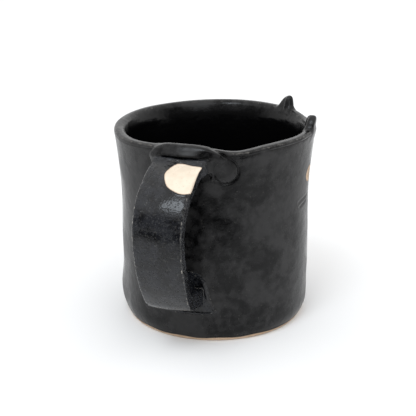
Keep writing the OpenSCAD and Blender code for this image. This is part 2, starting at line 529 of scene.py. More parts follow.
@dataclass(frozen=True)
class StrapForm:
    """The handle: one flat strap of clay bent along arcs, thickened towards its lower root."""

    start: tuple[float, float] = (38.0, 80.2)
    lean: float = 9.25
    path: tuple[tuple[float, float], ...] = (
        (5.7, 0.0), (48.3, 22.25), (17.8, 62.6), (55.7, 32.9), (10.0, 38.3), (22.0, 0.0))
    half_wide: float = 10.2
    half_thick: float = 2.8
    edge: float = 0.85
    sway: HandWork = HandWork(5, 24.0, 0.16)
    skin: HandWork = HandWork(6, 7.0, 0.05)
    chips: HandWork = HandWork(12, 2.1, 0.07)
    spot_centre: tuple[float, float] = (16.3, 7.0)
    spot_radius: float = 9.9
    spot_wobble: HandWork = HandWork(31, 6.0, 0.16)
    recess: float = 0.22
    bow: float = 0.55

    def legs(self) -> list[tuple[float, float, float, float, float, float]]:
        """The path's legs as (start length, x, z, heading, radius or 0, length)."""
        x, z = self.start
        heading, run, out = math.radians(self.lean), 0.0, []
        for size, turn in self.path:
            if turn:
                length = size * math.radians(turn)
                out.append((run, x, z, heading, size, length))
                cx, cz = x - size * math.sin(heading), z - size * math.cos(heading)
                heading += math.radians(turn)
                x, z = cx + size * math.sin(heading), cz + size * math.cos(heading)
            else:
                length = size
                out.append((run, x, z, heading, 0.0, length))
                x, z = x + size * math.cos(heading), z - size * math.sin(heading)
            run += length
        return out

    def walk(self, run: Array) -> tuple[Array, Array, Array]:
        """Distance from the axis, height and heading of the strap's middle line after each length."""
        reach, height, heading = np.zeros_like(run), np.zeros_like(run), np.zeros_like(run)
        for s0, x, z, h, size, length in self.legs():
            on = run >= s0 - 1e-9
            d = run[on] - s0
            if size:
                a = h + d / size
                cx, cz = x - size * math.sin(h), z - size * math.cos(h)
                reach[on], height[on], heading[on] = cx + size * np.sin(a), cz + size * np.cos(a), a
            else:
                reach[on], height[on], heading[on] = x + d * math.cos(h), z - d * math.sin(h), h
        return reach, height, heading

    def locate(self, reach: Array, height: Array) -> tuple[Array, Array]:
        """Length along the strap and offset from its middle line, positive outwards."""
        best, run, off = np.full(reach.shape, 1e9), np.zeros_like(reach), np.zeros_like(reach)
        legs = self.legs()
        for k, (s0, x, z, h, size, length) in enumerate(legs):
            if size:
                cx, cz = x - size * math.sin(h), z - size * math.cos(h)
                a = (np.arctan2(reach - cx, height - cz) - h + math.pi) % (2 * math.pi) - math.pi
                s, n = a * size, np.hypot(reach - cx, height - cz) - size
            else:
                dx, dz = reach - x, height - z
                s = dx * math.cos(h) - dz * math.sin(h)
                n = dx * math.sin(h) + dz * math.cos(h)
            low = -1e3 if k == 0 else -0.02
            high = length + (1e3 if k == len(legs) - 1 else 0.02)
            score = np.where((s >= low) & (s <= high), np.abs(n), 1e8)
            take = score < best
            best[take], run[take], off[take] = score[take], s[take] + s0, n[take]
        return run, off

    def total(self) -> float:
        """Length of the whole middle line."""
        return sum(leg[5] for leg in self.legs())

    def sides(self, run: Array) -> tuple[Array, Array]:
        """Middle and half width of the strap after each length, both measured across."""
        right = self.half_wide - 0.4 + 2.0 * (1 - ease(run, 3, 14))
        right = right - 0.9 * ease(run, 22, 52) - 1.1 * ease(run, 60, 84)
        left = self.half_wide + 0.9 - 0.2 * ease(run, 60, 84)
        return (right - left) / 2, (right + left) / 2

    def thickness(self, run: Array) -> tuple[Array, Array, Array]:
        """Half width, outer offset and inner offset of the strap after each length."""
        end = self.total()
        half = self.sides(run)[1]
        inner = -self.half_thick - 1.9 * ease(run, end - 31, end - 23)
        inner = inner - 1.5 * ease(run, end - 15, end - 7) - 0.8 * (1 - ease(run, 3, 9))
        return half, np.full(run.shape, self.half_thick), inner

    def spot(self, run: Array, across: Array, offset: Array) -> Array:
        """Signed distance in mm to the bare spot's edge, positive on bare clay."""
        middle, half = self.sides(run)
        right = middle + half
        folded = across + np.where(across > right - 0.6, self.half_thick - offset, 0.0)
        wobble = self.spot_wobble.at(np.stack([run, across, np.zeros_like(run)], 1))
        disc = self.spot_radius - np.hypot(run - self.spot_centre[0], folded - self.spot_centre[1])
        upper = run - 9.5 - 0.1 * np.maximum(across, 0)
        edge = right + 1.3 - folded + 0.1 * (run - 16)
        bare = soft_min(soft_min(disc, upper, 1.6), edge, 0.8) + wobble
        return np.where(offset > -self.half_thick + 0.4, bare, GLAZED)

    def bumps(self, run: Array, across: Array, offset: Array) -> Array:
        """How much the faces rise at each place, with the tuck under the tail and the sunk spot."""
        place = np.stack([run, across, offset], 1)
        rise = self.sway.at(place) + self.skin.at(place)
        on_top = ease(offset, 0.0, 1.5)
        groove = 0.38 * swell(run - 0.10 * across, 9.4, 0.3) * ease(across, -9, -3)
        tuck = groove - 1.2 * swell(run, 7.9, 1.2)
        sunk = self.recess * ease(self.spot(run, across, offset), -0.1, 0.3)
        middle, half = self.sides(run)
        crown = self.bow * (1 - np.clip((across - middle) / half, -1, 1) ** 2) * ease(run, 8, 20)
        return (rise + crown - 0.5 * self.bow) * ease(run, 2, 12) - (tuck + sunk) * on_top

    def distance(self, points: Array) -> Array:
        """Signed distance in mm to the strap, negative in the clay."""
        run, off = self.locate(-points[:, 0], points[:, 2])
        across = -points[:, 1]
        half, out, back = self.thickness(run)
        middle, deep = (out + back) / 2, (out - back) / 2
        lift = self.bumps(run, across, off)
        side = np.sign(off - middle)
        a = np.abs(across - self.sides(run)[0]) - (half - self.edge)
        b = np.abs(off - middle) - lift * np.where(side > 0, 1.0, -0.4) - (deep - self.edge)
        box = np.hypot(np.maximum(a, 0), np.maximum(b, 0)) + np.minimum(np.maximum(a, b), 0) - self.edge
        return np.maximum(box, 1.0 - run)


@dataclass(frozen=True)
class TailForm:
    """The tail as clay: a rope that leans over the handle's top end and ends in a pressed-flat tip."""

    cup: CupForm
    outline: TailOutline

    def distance(self, points: Array) -> Array:
        """Signed distance in mm to the tail's own clay."""
        r, swing, z = polar(points)
        gap, proud, lean = self.outline.measure(swing, z)
        wall = self.cup.outer(swing, np.clip(z, 0, self.cup.height))
        slope = np.clip((88.1 - z) / 5.6, -0.2, 1.12)
        dome = 1.0 - 0.25 * np.clip(1 + gap / 3.0, 0, 1) ** 2
        face = wall + proud * (lean * slope + (1 - lean) * dome)
        return soft_max(soft_max(gap, r - face, 1.1), wall - 2.4 - r, 1.6)

    def merge(self, points: Array) -> Array:
        """How widely the tail is smoothed into its neighbours at each point, in mm."""
        _, swing, z = polar(points)
        top = 1.5 * ease(z, 84.8, 86.2) * (1 - ease(swing, 13, 18))
        side = 2.0 * ease(swing, 12.5, 15.0) * (1 - ease(swing, 15.8, 18.0))
        side = side * (1 - ease(z, 81.5, 83.5))
        return 0.3 + top + side + 0.5 * (1 - ease(swing, -16, -13))


@dataclass(frozen=True)
class EarForm:
    """A pinched ear that grows out of the lip."""

    cup: CupForm
    swing: float
    inward: float
    height: float
    gentle: float = 60.0
    steep: float = 71.0
    shrink: float = 0.1
    join: float = 2.1

    def distance(self, points: Array) -> Array:
        """Signed distance in mm to the ear's own clay."""
        r, swing, z = polar(points)
        h = z - self.cup.height
        t = np.radians(swing - self.swing) * self.cup.rim_radius * self.inward
        a, b = math.radians(self.steep), math.radians(self.gentle)
        flank_in = (t - 1.3) * math.sin(a) + (h - self.height) * math.cos(a)
        flank_out = -(t + 1.0) * math.sin(b) + (h - self.height) * math.cos(b)
        flank_out = flank_out - 1.1 * np.maximum(0, 1 - ((h - 3.0) / 3.4) ** 2)
        outline = soft_max(flank_in, flank_out, 1.6)
        outline = soft_max(outline, h - self.height, 1.6)
        out, back = self.cup.under_lip(swing)
        up = np.maximum(h, 0)
        sink = self.shrink + 0.3 * np.maximum(-h, 0)
        ridge = 0.7 * np.exp(-(((t - 0.6) / 0.8) ** 2)) * ease(h, -1, 2.5)
        front = r - (out + 0.26 * up - 0.02 * up**2 - sink)
        rear = (back + 1.0 + 0.16 * up + 0.012 * up**2 + sink - ridge) - r
        return soft_max(soft_max(outline, soft_max(front, rear, 0.8), 1.6), -3.5 - h, 1.0)


@dataclass(frozen=True)
class RootForm:
    """The coil worked round the strap's lower end: a thin collar on the wall and a fillet above the strap."""

    cup: CupForm
    collar: float = 0.55
    heights: tuple[float, ...] = (13.0, 14.3, 16.0, 18.6, 22.3, 25.4, 28.0, 30.0, 31.6, 32.6)
    halves: tuple[float, ...] = (9.0, 13.1, 12.0, 10.9, 9.9, 9.3, 8.5, 7.2, 5.9, 3.0)

    def outline(self, across: Array, height: Array) -> Array:
        """Signed distance to the collar's edge on the wall, roughly, in mm."""
        half = np.interp(height, self.heights, self.halves)
        side = (np.abs(across) - half) * 0.93
        return soft_max(soft_max(side, height - 32.4, 1.5), 13.2 - height, 1.5)

    def distance(self, points: Array) -> Array:
        """Signed distance in mm to the collar's own clay."""
        r, swing, z = polar(points)
        gap = self.outline(-points[:, 1], z)
        wall = self.cup.outer(swing, z)
        lift = self.collar + 0.35 * np.exp(-(((gap + 0.7) / 0.5) ** 2))
        lift = lift * (1 - 0.85 * ease(z, 28.0, 31.0))
        return soft_max(gap, r - wall - lift, 0.5)

    def merge(self, points: Array) -> Array:
        """How widely the collar is smoothed into the strap and the wall, in mm."""
        z, across = points[:, 2], np.abs(points[:, 1])
        return 0.35 + 1.7 * ease(z, 25.5, 28.5) * (1 - ease(across, 8.0, 10.5))


# ---------------------------------------------------------------- finishes


class Slot(Enum):
    """The record's material slots."""

    SATIN = "black_glaze"
    GLOSS = "gloss_glaze"
    CLAY = "bare_clay"


@dataclass
class Bench:
    """A node tree being wired up."""

    tree: bpy.types.NodeTree

    def feed(self, node: Node, inputs: dict[str | int, object]) -> None:
        """Gives a node's inputs, by name or number, their values or sockets."""
        for key, value in inputs.items():
            if isinstance(value, Socket):
                self.tree.links.new(value, node.inputs[key])
            else:
                node.inputs[key].default_value = value

    def add(self, kind: str, inputs: dict[str | int, object] | None = None, **settings: object) -> Node:
        """Adds a node.

        Args:
            kind: The node's type name, without "ShaderNode".
            inputs: Values or sockets for its inputs, by name or number.
            settings: Properties to set on the node.

        Returns:
            The new node.
        """
        node = self.tree.nodes.new(kind if kind.startswith("Node") else "ShaderNode" + kind)
        for key, value in settings.items():
            setattr(node, key, value)
        self.feed(node, inputs or {})
        return node

    def close(self, shader: Node, kind: str = "OutputMaterial") -> None:
        """Sends a shader to the tree's output."""
        self.feed(self.add(kind), {"Surface": shader.outputs[0]})

    def math(self, operation: str, *values: object, clamp: bool = False) -> Socket:
        """Adds a math node and returns its result."""
        node = self.add("Math", dict(enumerate(values)), operation=operation, use_clamp=clamp)
        return node.outputs[0]

    def vector(self, operation: str, *values: object) -> bpy.types.bpy_prop_collection:
        """Adds a vector math node and returns its outputs."""
        return self.add("VectorMath", dict(enumerate(values)), operation=operation).outputs

    def ramp(self, value: object, low: object, high: object, a: object = 0.0, b: object = 1.0) -> Socket:
        """Adds a smooth map of value from low..high to a..b and returns its result."""
        ends = {"Value": value, "From Min": low, "From Max": high, "To Min": a, "To Max": b}
        return self.add("MapRange", ends, interpolation_type="SMOOTHSTEP").outputs["Result"]

    def blend(self, share: object, a: object, b: object) -> Socket:
        """Adds a colour mix from a to b and returns its result."""
        return self.add("Mix", {0: share, 6: a, 7: b}, data_type="RGBA").outputs[2]

    def fade(self, share: object, a: object, b: object) -> Socket:
        """Adds a mix of numbers from a to b and returns its result."""
        return self.add("Mix", {0: share, 2: a, 3: b}, data_type="FLOAT").outputs[0]

    def noise(self, place: Socket, scale: object, detail: float, roughness: float = 0.5) -> Socket:
        """Adds a noise texture and returns its value."""
        inputs = {"Vector": place, "Scale": scale, "Detail": detail, "Roughness": roughness}
        return self.add("TexNoise", inputs).outputs["Fac"]


def open_nodes(owner: bpy.types.Material | bpy.types.World) -> Bench:
    """Empties the node tree of a material or a world and returns a bench for it."""
    owner.use_nodes = True
    owner.node_tree.nodes.clear()
    return Bench(owner.node_tree)


@dataclass
class ShaderKit:
    """The effects that several finishes share, each a node group made once."""

    made: dict[str, bpy.types.NodeTree] = field(default_factory=dict)

    def start(
        self, name: str, inputs: dict[str, float], outputs: Sequence[str]
    ) -> tuple[Bench, dict[str, Socket], Node]:
        """Opens a new group that takes a place and some numbers and gives some numbers.

        Args:
            name: The group's name.
            inputs: Default value of each number that it takes, by name.
            outputs: Names of the numbers that it gives.

        Returns:
            The bench, what the group takes by name, and its output node.
        """
        tree = bpy.data.node_groups.new(name, "ShaderNodeTree")
        tree.interface.new_socket("Place", in_out="INPUT", socket_type="NodeSocketVector")
        for key, value in inputs.items():
            socket = tree.interface.new_socket(key, in_out="INPUT", socket_type="NodeSocketFloat")
            socket.default_value = value
        for key in outputs:
            tree.interface.new_socket(key, in_out="OUTPUT", socket_type="NodeSocketFloat")
        self.made[name] = tree
        bench = Bench(tree)
        taken = bench.add("NodeGroupInput").outputs
        return bench, {key: taken[key] for key in ("Place", *inputs)}, bench.add("NodeGroupOutput")

    def place(self, bench: Bench, name: str, inputs: dict[str, object]) -> dict[str, Socket]:
        """Puts a group into a material with its own values and returns what it gives."""
        if name not in self.made:
            getattr(self, "make_" + name)()
        node = bench.add("Group", inputs, node_tree=self.made[name])
        return dict(node.outputs.items())

    def make_glaze_mottle(self) -> None:
        """Cloudy patches where a glaze is thicker or thinner, with its soft ripples."""
        b, i, o = self.start("glaze_mottle", {"Patch": 12.0, "Ripple": 2.2}, ("Cloud", "Ripples"))
        cloud = b.noise(i["Place"], b.math("DIVIDE", 1.0, i["Patch"]), 2.2)
        ripples = b.noise(i["Place"], b.math("DIVIDE", 1.0, i["Ripple"]), 2.0)
        b.feed(o, {"Cloud": b.ramp(cloud, 0.28, 0.72), "Ripples": ripples})

    def make_fine_speckle(self) -> None:
        """Tiny pale specks and pinholes scattered in a glaze."""
        b, i, o = self.start("fine_speckle", {"Spacing": 0.8, "Cover": 0.3}, ("Specks", "Pits"))
        scale = b.math("DIVIDE", 1.0, i["Spacing"])
        dots = b.add("TexVoronoi", {"Vector": i["Place"], "Scale": scale, "Randomness": 1.0})
        pick = b.add("SeparateColor", {0: dots.outputs["Color"]})
        size = b.math("MULTIPLY", pick.outputs[0], i["Cover"])
        inside = b.ramp(b.math("SUBTRACT", size, dots.outputs["Distance"]), -0.05, 0.1)
        chosen = b.ramp(pick.outputs[1], 0.45, 0.75)
        others = b.math("SUBTRACT", 1.0, chosen)
        b.feed(o, {"Specks": b.math("MULTIPLY", inside, chosen), "Pits": b.math("MULTIPLY", inside, others)})

    def make_edge_break(self) -> None:
        """Where a glaze runs thin over an edge, in uneven dashes."""
        b, i, o = self.start("edge_break", {"Edge": 0.0, "Dash": 2.0, "Cover": 0.5}, ("Thin",))
        noise = b.noise(i["Place"], b.math("DIVIDE", 1.0, i["Dash"]), 4.0, 0.65)
        level = b.math("ADD", i["Edge"], b.math("MULTIPLY", b.math("SUBTRACT", noise, 0.5), 1.6))
        low = b.math("SUBTRACT", 1.25, i["Cover"])
        dashes = b.ramp(level, low, b.math("ADD", low, 0.35))
        b.feed(o, {"Thin": b.math("MULTIPLY", dashes, b.ramp(i["Edge"], 0.1, 0.5))})

    def make_clay_tooth(self) -> None:
        """The grain of fired unglazed stoneware: sandy tooth, small dark grog and open pores."""
        b, i, o = self.start("clay_tooth", {"Grain": 0.5}, ("Tone", "Grog", "Tooth"))
        scale = b.math("DIVIDE", 1.0, i["Grain"])
        sand = b.noise(i["Place"], scale, 3.0, 0.7)
        wide = b.noise(i["Place"], 0.28, 3.0)
        pores = b.add("TexVoronoi", {"Vector": i["Place"], "Scale": b.math("MULTIPLY", scale, 0.45)})
        pick = b.add("SeparateColor", {0: pores.outputs["Color"]})
        round_hole = b.ramp(pores.outputs["Distance"], 0.26, 0.1)
        hole = b.math("MULTIPLY", round_hole, b.ramp(pick.outputs[0], 0.62, 0.8))
        tooth = b.math("SUBTRACT", sand, b.math("MULTIPLY", hole, 0.8))
        b.feed(o, {"Tone": b.ramp(wide, 0.35, 0.65), "Grog": hole, "Tooth": tooth})

    def make_glaze_border(self) -> None:
        """The edge between glaze and bare clay: a wobbling line, a rusty halo and the glaze's thick lip."""
        b, i, o = self.start("glaze_border", {"Distance": GLAZED, "Wobble": 0.25}, ("Bare", "Halo", "Lip"))
        noise = b.noise(i["Place"], 0.9, 4.0, 0.6)
        move = b.math("MULTIPLY", b.math("SUBTRACT", noise, 0.5), i["Wobble"])
        edge = b.math("ADD", i["Distance"], move)
        halo = b.math("MULTIPLY", b.ramp(edge, 0.5, 0.05), b.ramp(edge, -0.25, 0.0))
        lip = b.math("MULTIPLY", b.ramp(edge, 0.0, -0.18), b.ramp(edge, -1.1, -0.3))
        b.feed(o, {"Bare": b.ramp(edge, -0.06, 0.08), "Halo": halo, "Lip": lip})


@dataclass(frozen=True)
class GlazedStoneware:
    """Black glaze over buff stoneware, with whatever bare clay the piece leaves open."""

    name: str
    glaze: Colour = (0.0010, 0.0010, 0.0012)
    cloud: Colour = (0.0195, 0.0192, 0.0196)
    thin: Colour = (0.075, 0.070, 0.064)
    clay: Colour = (0.54, 0.41, 0.30)
    clay_deep: Colour = (0.45, 0.33, 0.23)
    grog: Colour = (0.30, 0.20, 0.13)
    halo: Colour = (0.30, 0.17, 0.09)
    rough_low: float = 0.17
    rough_high: float = 0.36
    rough_inside: float = 0.16
    rough_clay: float = 0.88
    patch: float = 15.0
    ripple: float = 4.2
    ripple_high: float = 0.16
    peel_high: float = 0.05
    lip_high: float = 0.10
    speck_spacing: float = 0.9
    speck_cover: float = 0.28
    speck_strength: float = 0.35
    pit_depth: float = 0.02
    dash: float = 2.2
    edge_cover: float = 0.55
    grain: float = 0.42
    tooth: float = 0.07
    ior: float = 1.31

    def effects(self, b: Bench, kit: ShaderKit) -> dict[str, Socket]:
        """Places the shared effects with this finish's values.

        Args:
            b: The material's bench.
            kit: The shared node groups.

        Returns:
            The masks and values that the finish is mixed from, by name.
        """
        where = b.add("TexCoord").outputs["Object"]
        place = b.vector("MULTIPLY", where, (1 / MM,) * 3)[0]
        distance, edge, pool_and_inside_shade = (
            b.add("Attribute", attribute_name=mark, attribute_type="GEOMETRY").outputs["Fac"]
            for mark in ("bare", "edge", "pool_and_inside_shade")
        )
        wide = {"Place": place, "Patch": self.patch, "Ripple": self.ripple}
        small = {"Place": place, "Patch": self.patch * 0.2, "Ripple": self.ripple * 0.4}
        specks = {"Place": place, "Spacing": self.speck_spacing, "Cover": self.speck_cover}
        dashes = {"Place": place, "Edge": edge, "Dash": self.dash, "Cover": self.edge_cover}
        fine = kit.place(b, "glaze_mottle", small)
        return {
            **kit.place(b, "glaze_mottle", wide),
            **kit.place(b, "fine_speckle", specks),
            **kit.place(b, "edge_break", dashes),
            **kit.place(b, "clay_tooth", {"Place": place, "Grain": self.grain}),
            **kit.place(b, "glaze_border", {"Place": place, "Distance": distance}),
            "Fine Cloud": fine["Cloud"],
            "Fine Ripples": fine["Ripples"],
            "Pool And Inside Shade": pool_and_inside_shade,
        }

    def colour(self, b: Bench, fx: dict[str, Socket]) -> Socket:
        """Mixes the colour: clouded glaze with specks and thin edges, and clay with its grog and halo. Inside
        the cup the clouds and specks are left out, so the glaze is darker there: painted shade.
        """
        # Painted shade: deep inside the cup the glaze keeps its darkest colour, without clouds or specks.
        clear_of_inside_shade = b.math("SUBTRACT", 1.0, fx["Pool And Inside Shade"])
        cloud = b.math("MULTIPLY", fx["Cloud"], 0.65)
        cloud = b.math("ADD", cloud, b.math("MULTIPLY", fx["Fine Cloud"], 0.35))
        cloud = b.math("MULTIPLY", b.ramp(cloud, 0.12, 0.88), clear_of_inside_shade)
        glaze = b.blend(cloud, (*self.glaze, 1), (*self.cloud, 1))
        specks = b.math("MULTIPLY", b.math("MULTIPLY", fx["Specks"], self.speck_strength), clear_of_inside_shade)
        glaze = b.blend(specks, glaze, (*self.thin, 1))
        glaze = b.blend(fx["Thin"], glaze, (*self.thin, 1))
        earth = b.blend(fx["Tone"], (*self.clay, 1), (*self.clay_deep, 1))
        earth = b.blend(b.math("MULTIPLY", fx["Grog"], 0.45), earth, (*self.grog, 1))
        earth = b.blend(b.math("MULTIPLY", fx["Halo"], 0.5), earth, (*self.halo, 1))
        return b.blend(fx["Bare"], glaze, earth)

    def roughness(self, b: Bench, fx: dict[str, Socket]) -> Socket:
        """Mixes the roughness: even glaze inside the cup, clouded and worn glaze outside, matte bare clay."""
        gloss = b.ramp(fx["Cloud"], 0.0, 1.0, self.rough_low, self.rough_high)
        worn = b.math("MULTIPLY", b.math("ADD", fx["Thin"], fx["Pits"], clamp=True), 0.14)
        gloss = b.fade(fx["Pool And Inside Shade"], b.math("ADD", gloss, worn, clamp=True), self.rough_inside)
        return b.fade(fx["Bare"], gloss, self.rough_clay)

    def relief(self, b: Bench, fx: dict[str, Socket]) -> Socket:
        """Bends the normal by the glaze's ripples, pits and thick lip, or by the clay's tooth."""
        high = b.math("MULTIPLY", fx["Ripples"], self.ripple_high)
        high = b.math("SUBTRACT", high, b.math("MULTIPLY", fx["Pits"], self.pit_depth))
        high = b.math("ADD", high, b.math("MULTIPLY", fx["Fine Ripples"], self.peel_high))
        high = b.math("ADD", high, b.math("MULTIPLY", fx["Lip"], self.lip_high))
        high = b.fade(fx["Bare"], high, b.math("MULTIPLY", fx["Tooth"], self.tooth))
        return b.add("Bump", {"Strength": 1.0, "Distance": MM, "Height": high}).outputs[0]

    def make(self, kit: ShaderKit) -> bpy.types.Material:
        """Builds the material.

        Args:
            kit: The shared node groups.

        Returns:
            The new material.
        """
        material = bpy.data.materials.new(self.name)
        b = open_nodes(material)
        fx = self.effects(b, kit)
        shader = b.add("BsdfPrincipled", {
            "Base Color": self.colour(b, fx),
            "Roughness": self.roughness(b, fx),
            "Normal": self.relief(b, fx),
            "IOR": self.ior,
        })
        b.close(shader)
        return material


# ---------------------------------------------------------------- pieces


def span(node: str) -> tuple[Array, Array]:
    """Lowest and highest corner of a CAD node, in mm."""
    low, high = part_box(node)
    return np.array(low) / MM, np.array(high) / MM


def swing_of(node: str) -> float:
    """Swing of the middle of a CAD node, in degrees."""
    low, high = span(node)
    return float(polar(((low + high) / 2)[None, :])[1][0])


def install(obj: bpy.types.Object, node: str, slot: Slot, material: bpy.types.Material) -> bpy.types.Object:
    """Gives a piece its finish and puts it in the place of its CAD node.

    Args:
        obj: The piece.
        node: The CAD node that it stands for.
        slot: The record's slot that its finish comes from.
        material: The finish.

    Returns:
        The same piece.
    """
    obj.data.materials.append(material)
    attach(obj, "root")
    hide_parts(node)
    log.info("%s stands for %s in %s", obj.name, node, slot.value)
    return obj


@dataclass
class CupBody:
    """The wall, the floor disc and the coil worked into their corner."""

    form: CupForm
    fine: float = 0.55
    coarse: float = 1.25
    lip_steps: int = 11
    floor_waves: HandWork = HandWork(71, 17.0, 0.16)
    coil_size: float = 5.2
    coil_dents: HandWork = HandWork(91, 11.0, 0.5)

    def swings(self) -> Array:
        """The wall's columns, closer together where it has small features."""
        stretches = [
            (-180, -30, self.coarse), (-30, 38, self.fine), (38, 70, self.coarse),
            (70, 166, self.fine + 0.1), (166, 180, self.coarse),
        ]
        return np.concatenate([
            np.linspace(a, b, int(round((b - a) / step)), endpoint=False) for a, b, step in stretches
        ])

    def build_wall(self) -> bpy.types.Object:
        """Meshes the wall as one closed ring: outer face, lip, inner face and foot."""
        f, swing = self.form, self.swings()
        top = f.crown(swing)
        neck = f.height - f.lip
        levels = np.concatenate([
            np.linspace(0.9, 4.5, 9), np.linspace(5.2, 50, 46), np.linspace(50.5, 70, 44),
            np.linspace(70.4, neck, 38),
        ])
        rows, bare, edge = [], [], []

        def lay(radius: Array, height: Array | float, bare_here: Array | float, edge_here: float = 0) -> None:
            """Lays one ring of points with its marks."""
            rows.append(at_polar(radius, swing, height))
            bare.append(np.full(swing.shape, bare_here))
            edge.append(np.full(swing.shape, edge_here))

        def level(z: float) -> Array:
            """A level's height round the rim: levels near the top follow the crown."""
            return np.where(z > 60, 60 + (z - 60) * (top - f.lip - 60) / (neck - 60), z)

        foot = f.outer(swing, np.full(swing.shape, 0.9))
        for inset, height in ((1.25, 0.0), (0.7, 0.12), (0.25, 0.42)):
            lay(foot - inset, height, BARE)
        for z in levels:
            h = level(z)
            lay(f.outer(swing, h), h, f.bare_at(swing, h))
        for phi in np.linspace(0, np.pi, 2 * self.lip_steps + 1):
            h = top - f.lip + f.lip * np.sin(phi)
            out, back = f.outer(swing, h), f.inner(swing, h)
            middle, half = (out + back) / 2, (out - back) / 2
            side = 1.0 if phi <= np.pi / 2 else -1.0
            r = middle + side * (half - f.lip + f.lip * abs(math.cos(phi)))
            turned = math.degrees(phi)
            lit = math.exp(-(((turned - 48) / 26) ** 2)) + 0.8 * math.exp(-(((turned - 132) / 26) ** 2))
            lay(r, h, GLAZED, 0.25 * math.sin(phi) + 0.65 * lit)
        for z in np.concatenate([np.linspace(neck - 0.8, 12, 60), [9.0, 6.0, 3.0, 0.8]]):
            h = level(z)
            lay(f.inner(swing, h), h, GLAZED)
        lay(f.inner(swing, np.zeros(swing.shape)) + 0.6, 0.06, BARE)
        faces = grid_faces(len(rows), len(swing), True, True)
        points = np.concatenate(rows)
        r, turn, z = polar(points)
        middle = (f.outer(turn, z) + f.inner(turn, z)) / 2
        # deep marks the inside of the cup, where the glaze is smoother and painted shade darkens it.
        deep = deep_inside(middle - r, np.tile(top, len(rows)) - z)
        marks = {"bare": np.concatenate(bare), "edge": np.concatenate(edge), "pool_and_inside_shade": deep}
        return make_piece("cup_wall", points, faces, marks)

    def build_floor(self) -> bpy.types.Object:
        """Meshes the floor: a rolled disc with a slightly dished top and a bare underside."""
        f = self.form
        swing = np.linspace(-180, 180, 144, endpoint=False)
        edge = f.inner(swing, np.full(swing.shape, 3.0)) + 0.5
        rows, bare = [], []
        shares = np.linspace(0.015, 1.0, 34)
        for share in shares:
            flat = at_polar(edge * share, swing, f.floor)
            flat[:, 2] += self.floor_waves.at(flat) - 0.35 * (1 - share**2) - 0.12 * math.cos(share * 26)
            rows.append(flat)
            bare.append(np.full(swing.shape, GLAZED))
        for share in shares[::-1]:
            flat = at_polar(edge * share, swing, 0.25 + 0.35 * (1 - share**2))
            flat[:, 2] += 0.35 * np.abs(self.floor_waves.at(flat * 2.0))
            rows.append(flat)
            bare.append(np.full(swing.shape, BARE))
        points = np.concatenate(rows)
        faces = grid_faces(len(rows), len(swing), False, True)
        faces.append(tuple(range(len(swing)))[::-1])
        faces.append(tuple(range(len(points) - len(swing), len(points))))
        # The whole floor counts as inside the cup: smoother glaze and painted shade.
        marks = {"bare": np.concatenate(bare), "edge": np.zeros(len(points)), "pool_and_inside_shade": np.ones(len(points))}
        return make_piece("cup_floor", points, faces, marks)

    def build_coil(self) -> bpy.types.Object:
        """Meshes the coil pressed into the inside corner, with the dents of a finger run round it."""
        f = self.form
        swing = np.linspace(-180, 180, 240, endpoint=False)
        size = self.coil_size + self.coil_dents.at(at_polar(34.0, swing, 0.0))
        rows = []
        for a in np.linspace(0, np.pi / 2, 12):
            z = f.floor + size * (1 - math.sin(a)) - 0.35
            wall = f.inner(swing, z)
            rows.append(at_polar(wall + 0.25 - size * (1 - math.cos(a)), swing, z))
        wall = f.inner(swing, np.full(swing.shape, f.floor))
        rows.append(at_polar(wall - size + 0.6, swing, f.floor - 1.0))
        rows.append(at_polar(wall + 0.9, swing, f.floor - 1.0))
        rows.append(at_polar(wall + 0.9, swing, f.floor + size - 0.5))
        points = np.concatenate(rows)
        # The coil counts as inside the cup: smoother glaze and painted shade.
        marks = {
            "bare": np.full(len(points), GLAZED),
            "edge": np.zeros(len(points)),
            "pool_and_inside_shade": np.ones(len(points)),
        }
        return make_piece("corner_coil_inside", points, grid_faces(len(rows), len(swing), True, True), marks)


